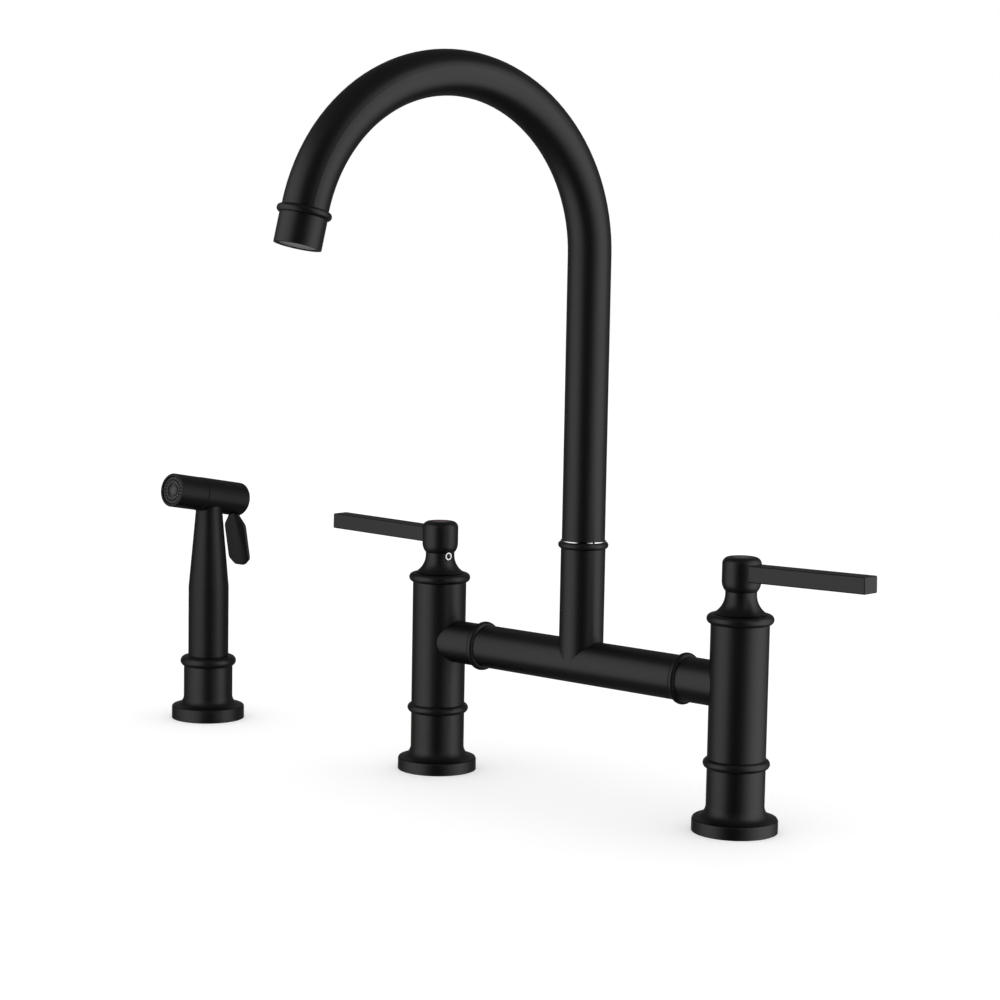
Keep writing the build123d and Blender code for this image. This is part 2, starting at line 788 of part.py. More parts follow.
# threaded outlet for the sprayer hose, behind the middle of the bridge
with BuildPart() as sprayer_outlet:
    with BuildSketch(outlet_plane.offset(bridge_water_r)):
        Circle(outlet_root_r)
    extrude(amount=outlet_face - bridge_water_r)
    with BuildSketch(outlet_plane.offset(outlet_face)):
        RegularPolygon(outlet_flats / 2, 6, major_radius=False)
    extrude(amount=outlet_hex)
    with BuildSketch(outlet_plane.offset(outlet_face + outlet_hex)):
        Circle(outlet_thread_r)
    extrude(amount=outlet_thread)
    with BuildSketch(outlet_plane):
        Circle(outlet_bore)
    extrude(amount=outlet_face + outlet_hex + outlet_thread, mode=Mode.SUBTRACT)
finish(sprayer_outlet, "sprayer_outlet")

# diverter: a cage that guides a poppet, which lifts and shuts the way to the spout
with BuildPart() as diverter_body:
    with BuildSketch(riser_profile):
        add(ring_section(0, diverter_r, diverter_seat, diverter_top))
    revolve(axis=Axis.Z)
    with BuildSketch(Plane.XY.offset(diverter_seat + diverter_web)):
        Circle(diverter_r - diverter_wall)
    extrude(amount=diverter_length - 2 * diverter_web, mode=Mode.SUBTRACT)
    with BuildSketch(Plane.XY.offset(diverter_top - diverter_web)):
        Circle(diverter_lip_r)
    extrude(amount=diverter_web, mode=Mode.SUBTRACT)
    with BuildSketch(Plane.XY.offset(diverter_seat)):
        Circle(poppet_stem_r + running_gap)
        with PolarLocations(diverter_lip_r, 4):
            Circle(poppet_stem_r)
    extrude(amount=diverter_web, mode=Mode.SUBTRACT)
finish(diverter_body, "diverter_body")

with BuildPart() as diverter_poppet:
    with BuildSketch(riser_profile):
        with BuildLine():
            Polyline(
                (0, diverter_seat - poppet_stem_r),
                (poppet_stem_r, diverter_seat - poppet_stem_r),
                (poppet_stem_r, diverter_seat + diverter_web + face_gap),
                (poppet_collar_r, diverter_seat + diverter_web + face_gap),
                (poppet_collar_r, poppet_disc_top - poppet_disc),
                (poppet_disc_r, poppet_disc_top - poppet_disc),
                (poppet_disc_r, poppet_disc_top),
                (0, poppet_disc_top),
                close=True,
            )
        make_face()
    revolve(axis=Axis.Z)
finish(diverter_poppet, "diverter_poppet")

# bead ring screwed on the riser, its lip holds the spout's tail down
with BuildPart() as swivel_ring:
    with BuildSketch(riser_profile):
        add(bead_section(
            tail_r + lip_gap, riser_r, swivel_proud, riser_top, swivel_top
        ))
    revolve(axis=Axis.Z)
    with BuildSketch(riser_profile):
        add(ring_section(0, swivel_thread_r + thread_gap, riser_top, swivel_seat))
    revolve(axis=Axis.Z, mode=Mode.SUBTRACT)
finish(swivel_ring, "swivel_ring")

# bright washer that the spout turns on
with BuildPart() as swivel_washer:
    with BuildSketch(riser_profile):
        add(ring_section(
            tail_r + lip_gap, spout_r + washer_proud, swivel_top, washer_top
        ))
    revolve(axis=Axis.Z)
finish(swivel_washer, "swivel_washer")

# ------------------------------------------------------------------------- spout
tail_groove_r = tail_r - 2 * o_ring_wire + ring_squeeze_gap
tail_grooves = [tail_bottom + tail_ring_first, tail_bottom + tail_ring_first + tail_ring_pitch]
with BuildPart() as spout_tail:
    with BuildSketch(riser_profile):
        with BuildLine():
            Polyline(
                (tail_water_r, tail_bottom),
                (tail_r, tail_bottom),
                (tail_r, riser_top + face_gap),
                (tail_flange_r, riser_top + face_gap),
                (tail_flange_r, riser_top + face_gap + tail_flange),
                (tail_r, riser_top + face_gap + tail_flange),
                (tail_r, spout_bottom),
                (tube_bore - thread_gap, spout_bottom),
                (tube_bore - thread_gap, spout_bottom + tail_insert),
                (tail_water_r, spout_bottom + tail_insert),
                close=True,
            )
        make_face()
    revolve(axis=Axis.Z)
    for height in tail_grooves:
        with BuildSketch(riser_profile):
            add(ring_section(
                tail_groove_r, tail_r, height - o_ring_groove / 2, height + o_ring_groove / 2
            ))
        revolve(axis=Axis.Z, mode=Mode.SUBTRACT)
finish(spout_tail, "spout_tail")

with BuildPart() as swivel_o_rings:
    for height in tail_grooves:
        with BuildSketch(riser_profile):
            with Locations((tail_groove_r + o_ring_wire, height)):
                Circle(o_ring_wire)
        revolve(axis=Axis.Z)
finish(swivel_o_rings, "swivel_o_rings")

# gooseneck: straight up, round the arc and a short straight run under the bead
with BuildPart() as spout_tube:
    with BuildLine(spout_plane) as spout_path:
        rise = Line((0, spout_bottom), (0, arch_height))
        arch = JernArc(rise @ 1, (0, 1), arch_radius, -arch_angle)
        Line(arch @ 1, arch @ 1 + (arch % 1) * tip_ring_end)
    with BuildSketch(Plane.XY.offset(spout_bottom)):
        Circle(spout_r)
        Circle(tube_bore, mode=Mode.SUBTRACT)
    sweep(path=spout_path.line)
finish(spout_tube, "spout_tube")

with BuildPart() as tip_ring:
    with BuildSketch(tip_profile):
        add(bead_section(
            spout_r + thread_gap, tip_r, tip_ring_proud + spout_r - tip_r, tip_ring_start, tip_ring_end
        ))
    revolve(axis=tip_axis)
finish(tip_ring, "tip_ring")

# sleeve that screws into the tube's end and holds the aerator
aerator_end = tip_straight - aerator_setback
aerator_top = aerator_end - aerator_body
with BuildPart() as aerator_housing:
    with BuildSketch(tip_profile):
        with BuildLine():
            Polyline(
                (aerator_open_r, tip_ring_start),
                (tube_bore - thread_gap, tip_ring_start),
                (tube_bore - thread_gap, tip_ring_end),
                (tip_r, tip_ring_end),
                (tip_r, tip_straight),
                (outlet_recess_r, tip_straight),
                (outlet_recess_r, aerator_top - aerator_washer_thickness),
                (aerator_open_r, aerator_top - aerator_washer_thickness),
                close=True,
            )
        make_face()
    revolve(axis=tip_axis)
finish(aerator_housing, "aerator_housing")

with BuildPart() as aerator_washer:
    with BuildSketch(tip_profile):
        add(ring_section(
            aerator_open_r, outlet_recess_r - thread_gap,
            aerator_top - aerator_washer_thickness, aerator_top,
        ))
    revolve(axis=tip_axis)
finish(aerator_washer, "aerator_washer")

# aerator cartridge: a cup with a screen of small holes at the outlet
with BuildPart() as aerator_insert:
    with BuildSketch(tip_profile):
        with BuildLine():
            Polyline(
                (0, aerator_end),
                (0, aerator_end - aerator_screen),
                (aerator_open_r, aerator_end - aerator_screen),
                (aerator_open_r, aerator_top),
                (outlet_recess_r - thread_gap, aerator_top),
                (outlet_recess_r - thread_gap, aerator_end),
                close=True,
            )
        make_face()
    revolve(axis=tip_axis)
    with BuildSketch(tip_plane.offset(aerator_end - aerator_screen)):
        for row in range(1, aerator_rows + 1):
            with PolarLocations(row * aerator_pitch, 6 * row):
                Circle(aerator_cell)
        Circle(aerator_cell)
    extrude(amount=aerator_screen, mode=Mode.SUBTRACT)
finish(aerator_insert, "aerator_insert")

# ---------------------------------------------------------------- sprayer holder
holder_profile = profile_plane(sprayer_x, sprayer_y)
holder_axis = upright(sprayer_x, sprayer_y)
at_holder = (sprayer_x, sprayer_y)
head_seat = holder_shank_seat + holder_head

with BuildPart() as holder_flange:
    with BuildSketch(holder_profile):
        add(flange_section(
            sleeve_bore, holder_flange_r, holder_edge, holder_flare, column_r, holder_sleeve_top
        ))
        add(ring_section(
            holder_shank_r + thread_gap, sleeve_bore, 0, holder_shank_seat
        ))
    revolve(axis=holder_axis)
    with BuildSketch(holder_profile):
        add(ring_section(gasket_inner_r, gasket_outer_r, 0, gasket_thickness))
    revolve(axis=holder_axis, mode=Mode.SUBTRACT)
finish(holder_flange, "holder_flange")

with BuildPart() as holder_ring:
    with BuildSketch(holder_profile):
        add(bead_section(
            sleeve_bore, column_r, bead_proud, holder_sleeve_top, holder_ring_top
        ))
    revolve(axis=holder_axis)
finish(holder_ring, "holder_ring")

with BuildPart() as holder_shank:
    with BuildSketch(holder_profile):
        with BuildLine():
            Polyline(
                (holder_shank_bore, -holder_shank_length),
                (holder_shank_r, -holder_shank_length),
                (holder_shank_r, holder_shank_seat),
                (liner_r, holder_shank_seat),
                (liner_r, head_seat),
                (holder_shank_bore, head_seat),
                close=True,
            )
        make_face()
    revolve(axis=holder_axis)
finish(holder_shank, "holder_shank")

with BuildPart() as holder_liner:
    with BuildSketch(holder_profile):
        add(ring_section(liner_bore, liner_r, head_seat, holder_ring_top))
    revolve(axis=holder_axis)
finish(holder_liner, "holder_liner")

with BuildPart() as holder_nut:
    with BuildSketch(Plane.XY.offset(-deck_thickness - holder_nut_height)):
        with Locations(at_holder):
            RegularPolygon(holder_nut_flats / 2, 6, major_radius=False)
            Circle(holder_shank_r + thread_gap, mode=Mode.SUBTRACT)
    extrude(amount=holder_nut_height)
finish(holder_nut, "holder_nut")

# ------------------------------------------------------------------ sprayer wand
# grip with its stem in the holder, tapering to the saddle under the spray head
with BuildPart() as wand_handle:
    with BuildSketch(holder_profile):
        with BuildLine():
            Polyline(
                (wand_bore, wand_stem_bottom),
                (wand_stem_r, wand_stem_bottom),
                (wand_stem_r, wand_bottom),
                (wand_r, wand_bottom),
                (wand_r, wand_shoulder),
                (wand_neck_r, wand_neck_height),
                (wand_neck_r, head_height),
                (wand_bore, head_height),
                close=True,
            )
        make_face()
    revolve(axis=holder_axis)
    with BuildSketch(holder_profile):
        add(ring_section(0, hose_root_r + thread_gap, wand_stem_bottom, wand_stem_bottom + hose_root))
    revolve(axis=holder_axis, mode=Mode.SUBTRACT)
    with BuildSketch(head_plane.offset(-head_rear)):
        Circle(head_r)
    extrude(amount=head_rear + barrel_front, mode=Mode.SUBTRACT)
    with BuildSketch(Plane.XY.offset(wand_neck_height - wand_tenon)):
        with Locations(at_holder):
            Circle(wand_tenon_r)
            Circle(wand_bore, mode=Mode.SUBTRACT)
    extrude(amount=2 * wand_tenon)
finish(wand_handle, "wand_handle")

with BuildPart() as hose_nipple:
    with BuildSketch(holder_profile):
        add(ring_section(
            hose_bore, hose_root_r, wand_stem_bottom, wand_stem_bottom + hose_root
        ))
    revolve(axis=holder_axis)
    with BuildSketch(Plane.XY.offset(wand_stem_bottom - hose_hex)):
        with Locations(at_holder):
            RegularPolygon(hose_flats / 2, 6, major_radius=False)
            Circle(hose_bore, mode=Mode.SUBTRACT)
    extrude(amount=hose_hex)
    with BuildSketch(Plane.XY.offset(wand_stem_bottom - hose_hex - hose_thread)):
        with Locations(at_holder):
            Circle(hose_thread_r)
            Circle(hose_bore, mode=Mode.SUBTRACT)
    extrude(amount=hose_thread)
finish(hose_nipple, "hose_nipple")

# rear shell of the head: front chamber, web with the stem guide, trigger bay and slot
with BuildPart() as spray_head:
    with BuildSketch(head_plane.offset(-head_rear)):
        Circle(head_r)
    extrude(amount=head_rear + head_seam)
    rear_edge = spray_head.edges().sort_by(Axis(head_origin, head_way))[0]
    fillet(rear_edge, radius=head_rear_round)
    seam_edge = spray_head.edges().sort_by(Axis(head_origin, head_way))[-1]
    chamfer(seam_edge, length=head_seam_bevel)
    with BuildSketch(head_plane.offset(-head_web_front)):
        Circle(chamber_front_r)
    extrude(amount=head_web_front + head_seam, mode=Mode.SUBTRACT)
    with BuildSketch(head_plane.offset(head_rear_wall - head_rear)):
        Circle(head_r - head_wall)
    extrude(amount=head_rear - head_rear_wall - head_web_rear, mode=Mode.SUBTRACT)
    with BuildSketch(head_plane.offset(-head_web_rear)):
        Circle(valve_stem_r + running_gap)
    extrude(amount=head_web_rear - head_web_front, mode=Mode.SUBTRACT)
    with BuildSketch(Plane.XY.offset(head_height - head_r - wand_tenon)):
        with Locations(at_holder):
            Circle(wand_tenon_r + thread_gap)
    extrude(amount=head_r, mode=Mode.SUBTRACT)
    with BuildSketch(head_plane.offset(head_rear_wall - head_rear)):
        with Locations((0, -head_r)):
            Rectangle(2 * (trigger_neck_half + face_gap), head_r)
    extrude(amount=head_rear - head_rear_wall - slot_front, mode=Mode.SUBTRACT)
    with BuildSketch(pivot_plane.offset(-pin_half)):
        Circle(pin_r + thread_gap / 2)
    extrude(amount=2 * pin_half, mode=Mode.SUBTRACT)
finish(spray_head, "spray_head")

# front barrel: spigot in the head, floor with the valve seat, open front
with BuildPart() as spray_barrel:
    with BuildSketch(head_plane.offset(head_seam)):
        Circle(barrel_r)
    extrude(amount=barrel_front - head_seam)
    front_edge = spray_barrel.edges().sort_by(Axis(head_origin, head_way))[-1]
    fillet(front_edge, radius=barrel_round)
    with BuildSketch(head_plane.offset(head_seam - barrel_spigot)):
        Circle(chamber_front_r - thread_gap)
    extrude(amount=barrel_spigot)
    with BuildSketch(head_plane.offset(valve_seat)):
        Circle(barrel_r - barrel_wall)
    extrude(amount=barrel_front - valve_seat, mode=Mode.SUBTRACT)
    with BuildSketch(head_plane.offset(head_seam - barrel_spigot)):
        Circle(seat_r)
    extrude(amount=barrel_spigot + barrel_floor, mode=Mode.SUBTRACT)
finish(spray_barrel, "spray_barrel")

# spray face with its ring of jets, raised middle and the boss behind for the spring
with BuildPart() as spray_face:
    with BuildSketch(head_plane.offset(barrel_face - face_thickness)):
        Circle(barrel_r - barrel_wall - thread_gap)
    extrude(amount=face_thickness)
    with BuildSketch(head_plane.offset(barrel_face)):
        Circle(face_centre_r)
    extrude(amount=face_centre)
    spring_end = valve_seat + water_film + valve_disc + valve_travel + face_gap
    spring_end = spring_end + spring_turns * spring_pitch + 2 * spring_wire
    with BuildSketch(head_plane.offset(spring_end)):
        Circle(face_boss_r)
    extrude(amount=barrel_face - face_thickness - spring_end)
    with BuildSketch(head_plane.offset(barrel_face - face_thickness)):
        with PolarLocations(face_hole_circle, face_hole_count):
            Circle(face_hole_r)
    extrude(amount=face_thickness, mode=Mode.SUBTRACT)
finish(spray_face, "spray_face")

# valve: a stem pushed by the trigger, its disc lifts forward off the seat
head_profile = Plane(origin=head_origin, x_dir=(1, 0, 0), z_dir=Vector(1, 0, 0).cross(head_way))
head_axis = Axis(head_origin, head_way)
with BuildPart() as spray_valve:
    with BuildSketch(head_profile):
        with BuildLine():
            Polyline(
                (0, -valve_tip),
                (valve_stem_r, -valve_tip),
                (valve_stem_r, valve_seat + water_film),
                (valve_disc_r, valve_seat + water_film),
                (valve_disc_r, valve_seat + water_film + valve_disc),
                (valve_stem_r, valve_seat + water_film + valve_disc),
                (valve_stem_r, valve_seat + water_film + valve_disc + valve_nose),
                (0, valve_seat + water_film + valve_disc + valve_nose),
                close=True,
            )
        make_face()
    revolve(axis=head_axis)
    with Locations(Location(head_origin - head_way * valve_tip)):
        Sphere(valve_stem_r)
finish(spray_valve, "spray_valve")

# return spring between the valve disc and the boss of the face
spring_start = valve_seat + water_film + valve_disc + valve_travel + face_gap + spring_wire
with BuildPart() as valve_spring:
    spring_base = head_plane.offset(spring_start)
    spring_path = Helix(
        pitch=spring_pitch, height=spring_turns * spring_pitch, radius=spring_r,
        center=spring_base.origin, direction=head_way,
    )
    with BuildSketch(Plane(origin=spring_path @ 0, z_dir=spring_path % 0)):
        Circle(spring_wire)
    sweep(path=spring_path)
finish(valve_spring, "valve_spring")

# ----------------------------------------------------------------------- trigger
# paddle with cut corners; its arm runs up through the slot to the pivot pin
with BuildPart() as trigger:
    with BuildSketch(trigger_plane.offset(-trigger_thickness / 2)):
        with BuildLine():
            Polyline(
                (trigger_arm_half, trigger_pivot),
                (trigger_arm_half, trigger_neck_half),
                (trigger_neck_half, 0),
                (trigger_half, -trigger_shoulder),
                (trigger_half, -trigger_side_end),
                (trigger_bottom_half, -trigger_bottom),
                (-trigger_bottom_half, -trigger_bottom),
                (-trigger_half, -trigger_side_end),
                (-trigger_half, -trigger_shoulder),
                (-trigger_neck_half, 0),
                (-trigger_arm_half, trigger_neck_half),
                (-trigger_arm_half, trigger_pivot),
                close=True,
            )
        make_face()
    extrude(amount=trigger_thickness)
    with BuildSketch(pivot_plane.offset(-trigger_arm_half)):
        Circle(trigger_eye_r)
    extrude(amount=2 * trigger_arm_half)
    with BuildSketch(pivot_plane.offset(-trigger_arm_half)):
        Circle(pin_r + running_gap)
    extrude(amount=2 * trigger_arm_half, mode=Mode.SUBTRACT)
finish(trigger, "trigger")

with BuildPart() as trigger_pin:
    with BuildSketch(pivot_plane.offset(-pin_half)):
        Circle(pin_r)
    extrude(amount=2 * pin_half)
finish(trigger_pin, "trigger_pin")
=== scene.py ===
import json
import math

import bpy
from mathutils import Matrix, Vector


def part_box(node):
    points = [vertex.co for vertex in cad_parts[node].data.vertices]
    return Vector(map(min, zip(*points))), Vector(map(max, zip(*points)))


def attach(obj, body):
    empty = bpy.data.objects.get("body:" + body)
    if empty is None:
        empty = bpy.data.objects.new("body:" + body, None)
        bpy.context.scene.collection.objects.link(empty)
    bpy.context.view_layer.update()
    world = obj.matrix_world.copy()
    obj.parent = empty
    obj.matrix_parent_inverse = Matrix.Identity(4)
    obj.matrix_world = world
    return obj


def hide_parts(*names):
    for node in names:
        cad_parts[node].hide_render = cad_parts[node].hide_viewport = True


# Bridge faucet: camera and studio first, then the finishes, then the pieces that need
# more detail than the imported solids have. Metres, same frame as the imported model.
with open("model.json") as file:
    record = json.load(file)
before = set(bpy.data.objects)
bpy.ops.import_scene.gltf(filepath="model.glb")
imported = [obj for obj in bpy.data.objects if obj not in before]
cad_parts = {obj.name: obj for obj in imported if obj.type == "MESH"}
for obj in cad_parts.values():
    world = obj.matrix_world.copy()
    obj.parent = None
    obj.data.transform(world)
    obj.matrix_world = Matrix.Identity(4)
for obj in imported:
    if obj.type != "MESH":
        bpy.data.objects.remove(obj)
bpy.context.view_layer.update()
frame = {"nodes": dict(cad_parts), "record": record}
nodes = frame["nodes"]
mm = 0.001
print("frame loaded:", len(nodes), "nodes")

camera = {
    "place": (0.77543, -0.963722, 0.288017),
    "focal": 85.29,      # mm
    "sensor": 36,        # mm
    "azimuth": 40.868,   # degrees, seen from the user's right
    "pitch": 5.993,      # degrees down
    "roll": 1.043,       # degrees
    "clip": (0.02, 60),
}


def placeCamera(c):
    azimuth, pitch, roll = (math.radians(c[k]) for k in ("azimuth", "pitch", "roll"))
    back = Vector((
        math.sin(azimuth) * math.cos(pitch), -math.cos(azimuth) * math.cos(pitch), math.sin(pitch)))
    level = Vector((math.cos(azimuth), math.sin(azimuth), 0))
    up = back.cross(level)
    side = level * math.cos(roll) + up * math.sin(roll)
    top = up * math.cos(roll) - level * math.sin(roll)
    turn = Matrix((side, top, back)).transposed().to_4x4()
    data = bpy.data.cameras.new("camera")
    data.lens = c["focal"]
    data.sensor_width = c["sensor"]
    data.clip_start, data.clip_end = c["clip"]
    eye = bpy.data.objects.new("camera", data)
    eye.matrix_world = Matrix.Translation(c["place"]) @ turn
    bpy.context.scene.collection.objects.link(eye)
    bpy.context.scene.camera = eye


placeCamera(camera)
bpy.context.scene.view_settings.view_transform = "Standard"
print("camera placed")


class Wire:
    # wraps one socket, so that sums on values add their Math nodes
    def __init__(self, tree, socket=None):
        self.tree = tree
        self.socket = socket

    # adds any node: its settings first, then the values or links of its sockets
    def add(self, kind, settings=None, sockets=None, output=0):
        node = self.tree.nodes.new("ShaderNode" + kind)
        for name, value in (settings or {}).items():
            setattr(node, name, value)
        for name, value in (sockets or {}).items():
            if isinstance(value, Wire):
                self.tree.links.new(value.socket, node.inputs[name])
            else:
                node.inputs[name].default_value = value
        return Wire(self.tree, node.outputs[output] if node.outputs else None)

    def maths(self, operation, *values):
        return self.add("Math", {"operation": operation}, dict(enumerate(values)))

    def __add__(self, other):
        return self.maths("ADD", self, other)

    def __sub__(self, other):
        return self.maths("SUBTRACT", self, other)

    def __mul__(self, other):
        return self.maths("MULTIPLY", self, other)

    def __rsub__(self, other):
        return self.maths("SUBTRACT", other, self)


def newMaterial(name):
    material = bpy.data.materials.new(name)
    material.use_nodes = True
    material.node_tree.nodes.clear()
    return material, Wire(material.node_tree)


def grey(level):
    return (level, level, level, 1)


# mixes two colours by a factor
def blend(w, factor, first, second):
    return w.add("Mix", {"data_type": "RGBA"}, {0: factor, 6: first, 7: second}, 2)


def smooth(w, value, low, high):
    return w.add("MapRange", {"interpolation_type": "SMOOTHSTEP"}, {
        "Value": value, "From Min": low, "From Max": high})


studio = {
    "worldStrength": 1.0,
    "floorSize": 8.0,
    "floorColour": 0.8,
    "floorGlow": 0.28,      # makes the lit floor white in the picture
}

# one tall tent of cloth round the faucet, which only mirror rays meet; it glows softly
# where two large windows stand, left and right of the camera's first place
tent = {
    "centre": (-0.05, 0.0, 0.0),
    "radius": 0.8,
    "sides": 72,
    "low": -0.6,            # mirror rays pass the floor, so that it leaves no step in the gloss
    "high": 1.05,
    "peak": 2.0,            # strength of pure white cloth
    "right": 1.74,          # strengths of the windows and of the cloth behind
    "left": 1.32,
    "back": 0.13,
    "ends": 0.10,           # strength of roof and bottom
    "rightWindow": (13, 64, 66, 130),    # degrees: begins, full, begins to fade, gone
    "leftWindow": (22, 49, 66, 132),
    "behind": (110, 150),   # degrees over which the cloth behind comes up
    "rightTop": (0.99, 1.05),            # heights over which the windows fade
    "leftTop": (0.76, 1.05),
    "bottom": (-0.58, -0.28),
}


def buildWorld(s):
    world = bpy.data.worlds.new("studioWorld")
    bpy.context.scene.world = world
    world.use_nodes = True
    world.node_tree.nodes.clear()
    w = Wire(world.node_tree)
    sky = w.add("Background", None, {"Color": grey(1), "Strength": s["worldStrength"]})
    w.add("OutputWorld", None, {"Surface": sky})


def buildFloor(s):
    bpy.ops.object.select_all(action="DESELECT")
    bpy.ops.mesh.primitive_plane_add(size=s["floorSize"])
    floor = bpy.context.object
    floor.name = "studioFloor"
    material, w = newMaterial("floorPaper")
    ports = w.add("LightPath").socket.node.outputs
    cameraRay, glossyRay, throughRay = (
        Wire(w.tree, ports["Is " + ray + " Ray"]) for ray in ("Camera", "Glossy", "Transmission"))
    seen = w.maths("MAXIMUM", w.maths("MAXIMUM", cameraRay, glossyRay), throughRay)
    paper = w.add("BsdfDiffuse", None, {"Color": grey(s["floorColour"])})
    shade = blend(w, seen, grey(0), grey(1))
    glow = w.add("Emission", None, {"Color": shade, "Strength": s["floorGlow"]})
    lit = w.add("AddShader", None, {0: paper, 1: glow})
    below = w.add("NewGeometry", None, None, "Backfacing")
    surface = w.add("MixShader", None, {0: below, 1: lit, 2: w.add("BsdfTransparent")})
    w.add("OutputMaterial", None, {"Surface": surface})
    floor.data.materials.append(material)
    floor.visible_glossy = False


# one window's light on the cloth, by the angle round the tent
def windowGlow(w, angle, edges, strength):
    begin, full, fade, gone = edges
    return smooth(w, angle, begin, full) * (1 - smooth(w, angle, fade, gone)) * strength


def wallMaterial(t):
    material, w = newMaterial("tentWall")
    place = w.add("TexCoord", None, None, "Object")
    fromCentre = w.add("VectorMath", {"operation": "SUBTRACT"}, {0: place, 1: t["centre"]})
    azimuth = math.radians(camera["azimuth"])
    front = w.add("VectorMath", {"operation": "DOT_PRODUCT"}, {
        0: fromCentre, 1: (math.sin(azimuth), -math.cos(azimuth), 0)}, "Value")
    right = w.add("VectorMath", {"operation": "DOT_PRODUCT"}, {
        0: fromCentre, 1: (math.cos(azimuth), math.sin(azimuth), 0)}, "Value")
    angle = w.maths("ARCTAN2", right, front) * math.degrees(1)
    height = w.add("SeparateXYZ", None, {0: place}, "Z")
    rise = smooth(w, height, *t["bottom"])
    rightGlow = windowGlow(w, angle, t["rightWindow"], t["right"])
    rightGlow = rightGlow * (1 - smooth(w, height, *t["rightTop"])) * rise
    leftGlow = windowGlow(w, angle * -1, t["leftWindow"], t["left"])
    leftGlow = leftGlow * (1 - smooth(w, height, *t["leftTop"])) * rise
    behind = smooth(w, w.maths("ABSOLUTE", angle), *t["behind"]) * t["back"]
    level = (behind + rightGlow + leftGlow) * (1 / t["peak"])
    shade = blend(w, level, grey(0), grey(1))
    glow = w.add("Emission", None, {"Color": shade, "Strength": t["peak"]})
    w.add("OutputMaterial", None, {"Surface": glow})
    return material


def endMaterial(level):
    material, w = newMaterial("tentEnds")
    glow = w.add("Emission", None, {"Color": grey(1), "Strength": level})
    w.add("OutputMaterial", None, {"Surface": glow})
    return material


def buildTent(t):
    bpy.ops.object.select_all(action="DESELECT")
    x, y = t["centre"][:2]
    height = t["high"] - t["low"]
    bpy.ops.mesh.primitive_cylinder_add(
        vertices=t["sides"], radius=t["radius"], depth=height,
        location=(x, y, t["low"] + height / 2))
    piece = bpy.context.object
    piece.name = "studioTent"
    bpy.ops.object.transform_apply(location=True, rotation=True, scale=True)
    for material in (wallMaterial(t), endMaterial(t["ends"])):
        piece.data.materials.append(material)
    for face in piece.data.polygons:
        face.material_index = 1 if abs(face.normal.z) > 0.5 else 0    # roof and bottom
    for ray in ("camera", "diffuse", "transmission", "volume_scatter", "shadow"):
        setattr(piece, "visible_" + ray, False)


buildWorld(studio)
buildFloor(studio)
buildTent(tent)
print("studio built")

# depths are metres of height; grain, peel and cloud are noise cells per metre
coating = {
    "tone": 0.0028,
    "toneSpread": 0.05,      # share of the tone by which it wanders
    "bend": 1.47,            # index of refraction of the coat
    "rough": 0.40,
    "grain": 2600,           # the powder's grain
    "grainDepth": 0.00003,
    "grainRough": 0.12,
    "peel": 420,             # the slower waviness of the coat
    "peelDepth": 0.00004,
    "cloud": 35,             # broad, faint changes of tone
    "cloudRough": 0.05,
    "dotRadius": 0.0046,
    "dotSoft": 0.07,         # share of the radius over which the dot's edge fades
}
sprayerCoating = dict(coating, bend=1.41)    # lacquer on plastic, a little duller
leftDot = (0.110, 0.060, 0.068, 1)
rightDot = (0.060, 0.064, 0.082, 1)
hubTopHeight = 0.139


# matte black powder coat; hubs get a dull coloured dot in the middle of their top
def powderCoat(name, c, dot=None, dotPlace=(0, 0, 0)):
    material, w = newMaterial(name)
    place = w.add("TexCoord", None, None, "Object")
    grain = w.add("TexNoise", None, {
        "Vector": place, "Scale": c["grain"], "Detail": 3, "Roughness": 0.6})
    peel = w.add("TexNoise", None, {"Vector": place, "Scale": c["peel"], "Detail": 1})
    cloud = w.add("TexNoise", None, {"Vector": place, "Scale": c["cloud"], "Detail": 2})
    waves = w.add("Bump", None, {"Height": peel, "Strength": 0.25, "Distance": c["peelDepth"]})
    bump = w.add("Bump", None, {
        "Height": grain, "Strength": 0.30, "Distance": c["grainDepth"], "Normal": waves})
    rough = (grain - 0.5) * c["grainRough"] + (cloud - 0.5) * c["cloudRough"] + c["rough"]
    wander = c["tone"] * c["toneSpread"]
    colour = blend(w, cloud, grey(c["tone"] - wander), grey(c["tone"] + wander))
    if dot:
        reach = w.add("VectorMath", {"operation": "DISTANCE"}, {0: place, 1: dotPlace}, "Value")
        soft = c["dotRadius"] * c["dotSoft"]
        outside = smooth(w, reach, c["dotRadius"] - soft, c["dotRadius"] + soft)
        colour = blend(w, outside, dot, colour)
    shader = w.add("BsdfPrincipled", None, {
        "Base Color": colour, "IOR": c["bend"], "Roughness": rough, "Normal": bump})
    w.add("OutputMaterial", None, {"Surface": shader})
    return material


def scaled(colour, share=1):
    return tuple(part * share for part in colour) + (1,)


metalWear = {"marksRough": 0.18, "stain": 90, "stainRough": 0.10}


# machined metal: fine turning marks run round the axis that is stretched most
def turnedMetal(name, colour, rough, stretch=(60, 60, 5200), depth=0.00001, tint=0.12):
    material, w = newMaterial(name)
    place = w.add("TexCoord", None, None, "Object")
    pulled = w.add("Mapping", None, {"Vector": place, "Scale": stretch})
    marks = w.add("TexNoise", None, {
        "Vector": pulled, "Scale": 1.0, "Detail": 3, "Roughness": 0.55})
    stain = w.add("TexNoise", None, {"Vector": place, "Scale": metalWear["stain"], "Detail": 3})
    shade = blend(w, stain, scaled(colour, 1 - tint), scaled(colour))
    bump = w.add("Bump", None, {"Height": marks, "Strength": 0.35, "Distance": depth})
    uneven = (marks - 0.5) * metalWear["marksRough"] + (stain - 0.5) * metalWear["stainRough"]
    shader = w.add("BsdfPrincipled", None, {
        "Base Color": shade, "Metallic": 1, "Roughness": uneven + rough, "Normal": bump})
    w.add("OutputMaterial", None, {"Surface": shader})
    return material


mouldedTone = {"cloud": 60, "darkest": 0.88}


